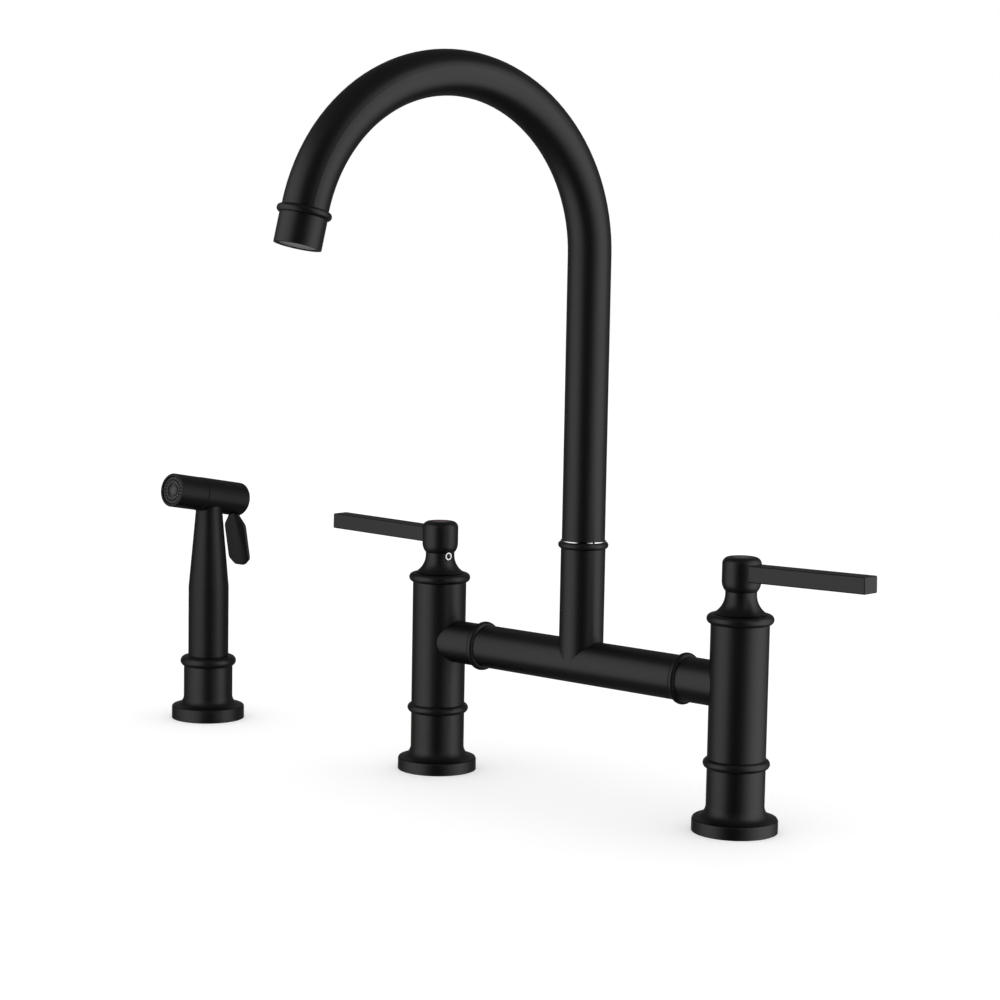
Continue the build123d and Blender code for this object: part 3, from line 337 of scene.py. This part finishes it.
# moulded rubber or plastic, and the lapped ceramic
def moulded(name, colour, rough, grain, depth, spread=0.1):
    material, w = newMaterial(name)
    place = w.add("TexCoord", None, None, "Object")
    pits = w.add("TexNoise", None, {
        "Vector": place, "Scale": grain, "Detail": 3, "Roughness": 0.6})
    cloud = w.add("TexNoise", None, {"Vector": place, "Scale": mouldedTone["cloud"], "Detail": 2})
    bump = w.add("Bump", None, {"Height": pits, "Strength": 0.4, "Distance": depth})
    shade = blend(w, cloud, scaled(colour, mouldedTone["darkest"]), scaled(colour))
    shader = w.add("BsdfPrincipled", None, {
        "Base Color": shade, "Roughness": (pits - 0.5) * spread + rough, "Normal": bump})
    w.add("OutputMaterial", None, {"Surface": shader})
    return material


brassTone = (0.72, 0.55, 0.28)
steelTone = (0.62, 0.62, 0.63)


# the middle of a hub's top, where its dot sits
def hubTop(side):
    low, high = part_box(side + "_cartridge_stem")
    return Vector(((low.x + high.x) / 2, 0, hubTopHeight))


finishes = {
    "matte_black": powderCoat("matteBlackCoat", coating),
    "sprayerBlack": powderCoat("sprayerCoat", sprayerCoating),
    "brass": turnedMetal("turnedBrass", brassTone, 0.28),
    "brassAcross": turnedMetal("turnedBrassAcross", brassTone, 0.28, (60, 5200, 900)),
    "stainless": turnedMetal("brushedStainless", steelTone, 0.30, (3600, 70, 300)),
    "chrome": turnedMetal(
        "polishedChrome", (0.80, 0.80, 0.82), 0.10, (120, 120, 2600), 0.000004, 0.04),
    "rubber": moulded("mouldedRubber", (0.030, 0.030, 0.030), 0.62, 2400, 0.00004),
    "plastic_black": moulded("blackPlastic", (0.030, 0.030, 0.031), 0.45, 3000, 0.00003),
    "plastic_grey": moulded("greyPlastic", (0.22, 0.22, 0.23), 0.42, 3000, 0.00003),
    "screwSteel": turnedMetal("screwSteel", (0.58, 0.58, 0.59), 0.24, (900, 900, 900)),
    "sprayGrey": moulded("sprayFaceGrey", (0.040, 0.040, 0.041), 0.38, 3000, 0.00003),
    "nozzleGrey": moulded("nozzleRubber", (0.045, 0.045, 0.046), 0.50, 3400, 0.00003),
    "screenGrey": moulded("screenGrey", (0.30, 0.30, 0.31), 0.35, 3000, 0.00002),
    "ceramic": moulded("lappedCeramic", (0.85, 0.84, 0.80), 0.16, 5200, 0.000008, 0.06),
    "leftHub": powderCoat("leftHubCoat", coating, leftDot, hubTop("left")),
    "rightHub": powderCoat("rightHubCoat", coating, rightDot, hubTop("right")),
}
# nodes with a finish of their own; all others take the one of their slot
special = {
    "left_handle_hub": "leftHub",
    "right_handle_hub": "rightHub",
    "spray_valve": "brassAcross",
    "wand_handle": "sprayerBlack",
    "spray_head": "sprayerBlack",
    "spray_barrel": "sprayerBlack",
}
for row in frame["record"]["subparts"]:
    node = nodes[row["node"]]
    node.data.materials.clear()
    node.data.materials.append(finishes[special.get(row["node"], row["material_slot"])])
print("finishes made")


columnX = 101.6             # the valve columns' distance from the middle, mm
sprayerPlace = (-298, 6, 0)
weld = 0.001 * mm           # points nearer than this are joined
clear = 1                   # mm by which a cutting tool reaches past the piece
smoothBelow = 32            # degrees between faces that are shaded as one


# a small plane drawn together into one point, from which the outline is drawn
def beginPiece(name):
    bpy.ops.object.select_all(action="DESELECT")
    bpy.ops.mesh.primitive_plane_add(size=mm)
    piece = bpy.context.object
    piece.name = name
    bpy.ops.object.mode_set(mode="EDIT")
    bpy.ops.mesh.select_mode(type="VERT")
    bpy.ops.mesh.select_all(action="SELECT")
    bpy.ops.mesh.merge(type="CENTER")
    return piece


# draws an outline in the XZ plane from (radius, height) pairs in millimetres; one that
# starts on the axis stays open there
def drawOutline(outline):
    onAxis = outline[0][0] == 0
    bpy.ops.transform.translate(value=(outline[0][0] * mm, 0, outline[0][1] * mm))
    for (r0, z0), (r1, z1) in zip(outline, outline[1:] + ([] if onAxis else outline[:1])):
        bpy.ops.mesh.extrude_vertices_move(
            TRANSFORM_OT_translate={"value": ((r1 - r0) * mm, 0, (z1 - z0) * mm)})
    bpy.ops.mesh.select_all(action="SELECT")
    bpy.ops.mesh.remove_doubles(threshold=weld)


def closeShell():
    bpy.ops.mesh.select_all(action="SELECT")
    bpy.ops.mesh.remove_doubles(threshold=weld)
    bpy.ops.mesh.normals_make_consistent(inside=False)
    bpy.ops.object.mode_set(mode="OBJECT")


# a turned piece: the outline spun once round the Z axis
def turned(name, outline, steps=64):
    piece = beginPiece(name)
    drawOutline(outline)
    bpy.ops.mesh.select_all(action="SELECT")
    bpy.ops.mesh.spin(steps=steps, angle=math.tau, center=(0, 0, 0), axis=(0, 0, 1))
    closeShell()
    return piece


def activate(piece):
    bpy.ops.object.select_all(action="DESELECT")
    piece.select_set(True)
    bpy.context.view_layer.objects.active = piece


def shapeWith(piece, tool, operation):
    activate(piece)
    modifier = piece.modifiers.new("shape", "BOOLEAN")
    modifier.operation = operation
    modifier.object = tool
    bpy.ops.object.modifier_apply(modifier=modifier.name)
    bpy.data.objects.remove(tool)


# how far a hexagon's corners stand from its middle
def cornerRadius(flats):
    return flats / 2 / math.cos(math.pi / 6)


def hexTool(flats, low, high):
    bpy.ops.object.select_all(action="DESELECT")
    bpy.ops.mesh.primitive_cylinder_add(
        vertices=6, radius=cornerRadius(flats) * mm, depth=(high - low) * mm,
        location=(0, 0, (low + high) / 2 * mm), rotation=(0, 0, math.pi / 6))
    bpy.ops.object.transform_apply(location=True, rotation=True, scale=True)
    return bpy.context.object


# depth and half width are shares of the pitch; the tool stands proud by millimetres
threadForm = {"depth": 0.64, "halfWidth": 0.36, "proud": 0.2, "steps": 32}


# cuts a V thread from low to high, a coil of its groove made by the Screw modifier
def cutThread(piece, radius, pitch, low, high):
    half = threadForm["halfWidth"] * pitch
    outside = radius + threadForm["proud"]
    tool = beginPiece("threadTool")
    drawOutline([
        (radius - threadForm["depth"] * pitch, low), (outside, low + half), (outside, low - half)])
    bpy.ops.object.mode_set(mode="OBJECT")
    screw = tool.modifiers.new("coil", "SCREW")
    screw.angle = math.tau
    screw.steps = screw.render_steps = threadForm["steps"]
    screw.screw_offset = pitch * mm
    screw.iterations = int((high - low) / pitch)
    screw.use_merge_vertices = False
    bpy.ops.object.modifier_apply(modifier=screw.name)
    bpy.ops.object.mode_set(mode="EDIT")
    bpy.ops.mesh.select_all(action="DESELECT")
    bpy.ops.mesh.select_non_manifold()
    bpy.ops.mesh.fill_holes(sides=0)
    closeShell()
    shapeWith(piece, tool, "DIFFERENCE")


# puts a piece that was made round the Z axis in its place, in millimetres
def placeAlong(piece, origin, way=(0, 0, 1), across=(1, 0, 0)):
    way, across = Vector(way).normalized(), Vector(across).normalized()
    turn = Matrix((across, way.cross(across), way)).transposed().to_4x4()
    activate(piece)
    piece.matrix_world = Matrix.Translation(Vector(origin) * mm) @ turn
    bpy.ops.object.transform_apply(location=True, rotation=True, scale=True)


def finishPiece(piece, body, finish, replaced):
    activate(piece)
    bpy.ops.object.shade_smooth_by_angle(angle=math.radians(smoothBelow))
    piece.data.materials.clear()
    piece.data.materials.append(finishes[finish])
    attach(piece, body)
    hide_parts(*replaced)


def copyPiece(piece, name):
    activate(piece)
    bpy.ops.object.duplicate(linked=False)
    bpy.context.object.name = name
    return bpy.context.object


# threaded shanks with their relief groove and chamfered ends
shank = {"radius": 10.48, "bore": 6.5, "pitch": 1.814, "chamfer": 0.9, "low": -60, "high": 32,
         "grooveLow": -46, "grooveHigh": -44, "grooveRadius": 9.28,
         "threadLow": -61.2, "threadHigh": 3}


def makeShanks(s):
    r, c, low, high, bore = s["radius"], s["chamfer"], s["low"], s["high"], s["bore"]
    groove, grooveLow, grooveHigh = s["grooveRadius"], s["grooveLow"], s["grooveHigh"]
    left = turned("leftShank", [
        (bore, low + c / 2), (bore + c / 2, low), (r - c, low), (r, low + c),
        (r, grooveLow), (groove, grooveLow), (groove, grooveHigh), (r, grooveHigh),
        (r, high - c), (r - c, high), (bore, high)])
    cutThread(left, r, s["pitch"], s["threadLow"], s["threadHigh"])
    right = copyPiece(left, "rightShank")
    placeAlong(left, (-columnX, 0, 0))
    placeAlong(right, (columnX, 0, 0))
    finishPiece(left, "deck_set", "brass", ["left_shank"])
    finishPiece(right, "deck_set", "brass", ["right_shank"])


makeShanks(shank)
print("shanks made")


# the round face's share of the flats, and how far the blank stands past the corners
hexForm = {"face": 0.97, "past": 0.2}


# the blank's outline between two faces of a hexagon, its corners taken down at 30 degrees
def chamferedHex(flats, low, high):
    face = flats / 2 * hexForm["face"]
    corner = cornerRadius(flats) + hexForm["past"]
    drop = (corner - face) * math.tan(math.pi / 6)
    return [(face, low), (corner, low + drop), (corner, high - drop), (face, high)]


lockNut = {"flats": 30, "bore": 10.53, "low": -44, "high": -35, "chamfer": 0.7}
holderNut = {"flats": 38, "bore": 12.75, "low": -40, "high": -30, "chamfer": 0.7}
nutSteps = 96


def hexNut(name, n):
    bore, low, high, c = n["bore"], n["low"], n["high"], n["chamfer"]
    nut = turned(name, [(bore, low + c), (bore + c, low)] + chamferedHex(n["flats"], low, high)
                 + [(bore + c, high), (bore, high - c)], nutSteps)
    shapeWith(nut, hexTool(n["flats"], low - clear, high + clear), "INTERSECT")
    return nut


leftNut = hexNut("leftLockNut", lockNut)
rightNut = copyPiece(leftNut, "rightLockNut")
placeAlong(leftNut, (-columnX, 0, 0))
placeAlong(rightNut, (columnX, 0, 0))
bigNut = hexNut("holderNut", holderNut)
placeAlong(bigNut, sprayerPlace)
for nut, replaced in ((leftNut, "lock_nuts"), (rightNut, "lock_nuts"), (bigNut, "holder_nut")):
    finishPiece(nut, "deck_set", "brass", [replaced])
print("nuts made")

holderShank = {"radius": 12.7, "bore": 11.2, "pitch": 1.5, "chamfer": 0.7, "innerChamfer": 0.4,
               "low": -48, "seat": 6, "headRadius": 13.05, "headTop": 8,
               "threadLow": -49, "threadHigh": 2}


def makeHolderShank(s):
    r, c, inner, low, bore = s["radius"], s["chamfer"], s["innerChamfer"], s["low"], s["bore"]
    piece = turned("holderShank", [
        (bore, low + inner), (bore + inner, low), (r - c, low), (r, low + c), (r, s["seat"]),
        (s["headRadius"], s["seat"]), (s["headRadius"], s["headTop"]), (bore, s["headTop"])])
    cutThread(piece, r, s["pitch"], s["threadLow"], s["threadHigh"])
    placeAlong(piece, sprayerPlace)
    finishPiece(piece, "deck_set", "brass", ["holder_shank"])


makeHolderShank(holderShank)
print("holder shank made")

# measured along its own axis from the bridge's axis; it falls 10 degrees
outlet = {"height": 73.2, "fall": 10, "root": 6, "bore": 4, "start": 8, "face": 13, "flats": 17,
          "hexEnd": 17, "neck": 1, "neckLength": 1, "radius": 8.33, "pitch": 1.337,
          "chamfer": 0.8, "innerChamfer": 0.5, "threadStart": 18.2, "threadEnd": 28.2, "end": 27}


def makeSprayerOutlet(o):
    r, end, c, inner = o["radius"], o["end"], o["chamfer"], o["innerChamfer"]
    neck, neckEnd = r - o["neck"], o["hexEnd"] + o["neckLength"]
    piece = turned("sprayerOutlet", [
        (o["bore"], o["start"]), (o["root"], o["start"]), (o["root"], o["face"])]
        + chamferedHex(o["flats"], o["face"], o["hexEnd"])
        + [(neck, o["hexEnd"]), (neck, neckEnd), (r, neckEnd + 0.6), (r, end - c),
           (r - c, end), (o["bore"] + inner, end), (o["bore"], end - inner)])
    shapeWith(piece, hexTool(o["flats"], o["start"] - clear, end + clear), "INTERSECT")
    cutThread(piece, r, o["pitch"], o["threadStart"], o["threadEnd"])
    fall = math.radians(o["fall"])
    placeAlong(piece, (0, 0, o["height"]), (0, math.cos(fall), -math.sin(fall)))
    finishPiece(piece, "deck_set", "brassAcross", ["sprayer_outlet"])


makeSprayerOutlet(outlet)
print("sprayer outlet made")

nipple = {"radius": 6.58, "pitch": 1.337, "bore": 3, "low": 7, "chamfer": 0.8, "innerChamfer": 0.5,
          "threadLow": 5.8, "threadHigh": 15.8, "neckLength": 1, "hexLow": 17, "hexHigh": 20,
          "flats": 15, "root": 5.6, "high": 27}


def makeHoseNipple(n):
    r, low, c, inner = n["radius"], n["low"], n["chamfer"], n["innerChamfer"]
    neckLow = n["hexLow"] - n["neckLength"]
    piece = turned("hoseNipple", [
        (n["bore"], low + inner), (n["bore"] + inner, low), (r - c, low), (r, low + c),
        (r, neckLow - 0.6), (n["root"], neckLow), (n["root"], n["hexLow"])]
        + chamferedHex(n["flats"], n["hexLow"], n["hexHigh"])
        + [(n["root"], n["hexHigh"]), (n["root"], n["high"]), (n["bore"], n["high"])])
    shapeWith(piece, hexTool(n["flats"], low - clear, n["high"] + clear), "INTERSECT")
    cutThread(piece, r, n["pitch"], n["threadLow"], n["threadHigh"])
    placeAlong(piece, sprayerPlace)
    finishPiece(piece, "wand", "brass", ["hose_nipple"])


makeHoseNipple(nipple)
print("hose nipple made")

# measured from its column's axis; the ways are degrees round that axis
setScrew = {"radius": 2.5, "tip": 3.35, "cone": 0.9, "head": 7.95, "chamfer": 0.4, "socket": 2.7,
            "depth": 2.0, "steps": 32, "height": 120.1, "leftWay": -11, "rightWay": 166}


def makeSetScrews(s):
    r, tip, head, c = s["radius"], s["tip"], s["head"], s["chamfer"]
    left = turned("leftSetScrew", [
        (0, tip + 0.3), (0.9, tip), (r - s["cone"], tip), (r, tip + s["cone"]), (r, head - c),
        (r - c, head), (0, head)], s["steps"])
    shapeWith(left, hexTool(s["socket"], head - s["depth"], head + clear), "DIFFERENCE")
    right = copyPiece(left, "rightSetScrew")
    for piece, x, way in ((left, -columnX, s["leftWay"]), (right, columnX, s["rightWay"])):
        way = math.radians(way)
        placeAlong(piece, (x, 0, s["height"]), (math.cos(way), math.sin(way), 0), (0, 0, 1))
    finishPiece(left, "left_handle", "screwSteel", ["left_handle_screw"])
    finishPiece(right, "right_handle", "screwSteel", ["right_handle_screw"])


makeSetScrews(setScrew)
print("set screws made")

# measured along the spray head's axis, from the wand's axis
sprayHead = {"height": 137, "tilt": 9.7}
sprayFace = {"radius": 8.45, "back": 27.4, "front": 29.9, "centre": 4.0, "proud": 0.8,
             "groove": 0.5, "grooveDepth": 1.4, "sunk": 0.25, "ditch": 1.2,
             "boss": 4.6, "bossBack": 23.0, "steps": 72,
             "jets": 20, "jetCircle": 6.2, "jet": 0.56, "nozzle": 0.86, "nozzleProud": 0.15}


def headWay():
    tilt = math.radians(sprayHead["tilt"])
    return (0, -math.cos(tilt), math.sin(tilt))


# joins copies of one small piece, spread round the Z axis, into one object
def ringOfCopies(piece, count, radius):
    copies = []
    for index in range(count):
        copy = copyPiece(piece, "copy")
        angle = math.tau * index / count
        copy.location = (radius * mm * math.cos(angle), radius * mm * math.sin(angle), 0)
        copies.append(copy)
    bpy.data.objects.remove(piece)
    activate(copies[0])
    for copy in copies:
        copy.select_set(True)
    bpy.ops.object.join()
    bpy.ops.object.transform_apply(location=True, rotation=True, scale=True)
    return copies[0]


def makeSprayFace(f):
    front, back, boss, jet, centre = f["front"], f["back"], f["boss"], f["jet"], f["centre"]
    rim, outside = f["radius"] - f["groove"], f["radius"]
    ledge, plate, ditch = front - f["grooveDepth"], front - f["sunk"], front - f["ditch"]
    face = turned("sprayFace", [
        (0, f["bossBack"]), (boss, f["bossBack"]), (boss, back), (outside, back),
        (outside, ledge), (rim, ledge), (rim, front - 0.2), (rim - 0.2, front),
        (rim - 0.5, front), (rim - 0.6, plate),
        (centre + 0.7, plate), (centre + 0.6, ditch), (centre - 0.4, ditch),
        (centre - 0.6, front - 0.4), (centre - 1.6, front + 0.3),
        (centre - 2.6, front + f["proud"] - 0.1), (0, front + f["proud"])], f["steps"])
    low, high, tip = back - clear, front + clear, front + f["nozzleProud"]
    hole = turned("jetTool", [(0, low), (jet, low), (jet, high), (0, high)], 12)
    shapeWith(face, ringOfCopies(hole, f["jets"], f["jetCircle"]), "DIFFERENCE")
    nozzle = turned("nozzle", [
        (jet, front - 0.9), (f["nozzle"], front - 0.9), (f["nozzle"], front - f["nozzleProud"]),
        (f["nozzle"] - 0.2, tip), (jet + 0.08, tip), (jet, front + 0.05)], 16)
    nozzles = ringOfCopies(nozzle, f["jets"], f["jetCircle"])
    nozzles.name = "sprayNozzles"
    for piece, finish in ((face, "sprayGrey"), (nozzles, "nozzleGrey")):
        placeAlong(piece, (sprayerPlace[0], sprayerPlace[1], sprayHead["height"]), headWay())
        finishPiece(piece, "wand", finish, ["spray_face"])


makeSprayFace(sprayFace)
print("spray face made")

# the spout's arc; the aerator is measured from the arc's end, along the outlet
spoutTip = {"turn": 12.1, "archHeight": 287, "archRadius": 88.2, "archAngle": 167}
aerator = {"radius": 9.55, "open": 7.6, "top": 13.2, "end": 18.2, "lip": 8.9, "edge": 0.3,
           "lipEdge": 0.2, "cell": 0.72, "wire": 0.24,
           "frontScreen": (17.7, 9.1, 0), "rearScreen": (16.6, 7.95, 30)}


def tipPlace(t):
    turn, angle = math.radians(t["turn"]), math.radians(t["archAngle"])
    out = Vector((-math.sin(turn), -math.cos(turn), 0))
    side = Vector((math.cos(turn), -math.sin(turn), 0))
    origin = out * t["archRadius"] * (1 - math.cos(angle))
    origin.z = t["archHeight"] + t["archRadius"] * math.sin(angle)
    return origin, out * math.sin(angle) + Vector((0, 0, math.cos(angle))), side


# a cup with a fine wire screen across its mouth and a second, turned one behind it;
# each screen is given by its place, its radius and the degrees it is turned
def makeAerator(a):
    r, end, lip, edge, lipEdge = (a[key] for key in ("radius", "end", "lip", "edge", "lipEdge"))
    cup = turned("aeratorCup", [
        (a["open"], a["top"]), (r, a["top"]), (r, end - edge), (r - edge, end),
        (lip + lipEdge, end), (lip, end - lipEdge), (lip, end - 0.9), (a["open"], end - 1.2)])
    screens = []
    half = a["frontScreen"][1]
    cells = int(2 * half / a["cell"])
    for height, reach, twist in (a["frontScreen"], a["rearScreen"]):
        bpy.ops.object.select_all(action="DESELECT")
        bpy.ops.mesh.primitive_grid_add(
            x_subdivisions=cells, y_subdivisions=cells, size=2 * half * mm,
            location=(0, 0, height * mm), rotation=(0, 0, math.radians(twist)))
        screen = bpy.context.object
        bpy.ops.object.mode_set(mode="EDIT")
        bpy.ops.mesh.select_mode(type="FACE")
        bpy.ops.mesh.select_all(action="DESELECT")
        bpy.ops.object.mode_set(mode="OBJECT")
        for face in screen.data.polygons:
            face.select = face.center.length > reach * mm
        # what is left of each face is a frame of wires, which then gets its thickness
        bpy.ops.object.mode_set(mode="EDIT")
        bpy.ops.mesh.delete(type="FACE")
        bpy.ops.mesh.select_all(action="SELECT")
        bpy.ops.mesh.inset(thickness=a["wire"] / 2 * mm, use_individual=True)
        bpy.ops.mesh.delete(type="FACE")
        bpy.ops.object.mode_set(mode="OBJECT")
        wires = screen.modifiers.new("wires", "SOLIDIFY")
        wires.thickness = a["wire"] * mm
        wires.offset = 0
        bpy.ops.object.modifier_apply(modifier=wires.name)
        screens.append(screen)
    screens[0].name = "aeratorScreen"
    activate(screens[0])
    screens[1].select_set(True)
    bpy.ops.object.join()
    bpy.ops.object.transform_apply(location=True, rotation=True, scale=True)
    for piece, finish in ((cup, "plastic_grey"), (screens[0], "screenGrey")):
        placeAlong(piece, *tipPlace(spoutTip))
        finishPiece(piece, "spout", finish, ["aerator_insert"])


makeAerator(aerator)
print("aerator made")

# half of the paddle's outline, across and along, from its neck; it leans away from the wand
triggerForm = {"place": (-298, 26.6, 123), "lean": 10.2, "thickness": 2.2, "armHalf": 3,
               "pivot": 16, "eye": 2.4, "pin": 1.25, "pinSteps": 40,
               "corner": 1.3, "cornersBelow": 1, "soft": 0.55, "softBelow": 4.5,
               "half": [(3, 16), (3, 4.3), (4.3, 0), (8.85, -5.7), (8.85, -27.2), (4, -31.2)]}


def makeTrigger(t):
    trigger = beginPiece("sprayTrigger")
    bpy.ops.transform.translate(value=(0, -t["thickness"] / 2 * mm, 0))
    drawOutline(t["half"] + [(-x, z) for x, z in reversed(t["half"])])
    bpy.ops.mesh.select_all(action="DESELECT")
    bpy.ops.object.mode_set(mode="OBJECT")
    for point in trigger.data.vertices:
        point.select = point.co.z < t["cornersBelow"] * mm
    bpy.ops.object.mode_set(mode="EDIT")
    bpy.ops.mesh.bevel(offset=t["corner"] * mm, segments=4, affect="VERTICES")
    bpy.ops.mesh.select_all(action="SELECT")
    bpy.ops.mesh.edge_face_add()
    bpy.ops.mesh.extrude_region_move(TRANSFORM_OT_translate={"value": (0, t["thickness"] * mm, 0)})
    closeShell()
    bpy.ops.object.mode_set(mode="EDIT")
    bpy.ops.mesh.select_mode(type="EDGE")
    bpy.ops.mesh.select_all(action="DESELECT")
    bpy.ops.object.mode_set(mode="OBJECT")
    points = trigger.data.vertices
    for edge in trigger.data.edges:
        a, b = (points[index].co for index in edge.vertices)
        edge.select = abs(a.y - b.y) < 0.01 * mm and max(a.z, b.z) < t["softBelow"] * mm
    bpy.ops.object.mode_set(mode="EDIT")
    bpy.ops.mesh.bevel(offset=t["soft"] * mm, segments=3, affect="EDGES")
    bpy.ops.object.mode_set(mode="OBJECT")
    # the eye round the pin, and then the pin's hole
    for radius, half, work in (
            (t["eye"], t["armHalf"], "UNION"), (t["pin"], t["armHalf"] + clear, "DIFFERENCE")):
        bpy.ops.object.select_all(action="DESELECT")
        bpy.ops.mesh.primitive_cylinder_add(
            vertices=t["pinSteps"], radius=radius * mm, depth=2 * half * mm,
            location=(0, 0, t["pivot"] * mm), rotation=(0, math.pi / 2, 0))
        bpy.ops.object.transform_apply(location=True, rotation=True, scale=True)
        shapeWith(trigger, bpy.context.object, work)
    lean = math.radians(t["lean"])
    placeAlong(trigger, t["place"], (0, -math.sin(lean), math.cos(lean)))
    finishPiece(trigger, "trigger", "matte_black", ["trigger"])


makeTrigger(triggerForm)
print("trigger made")
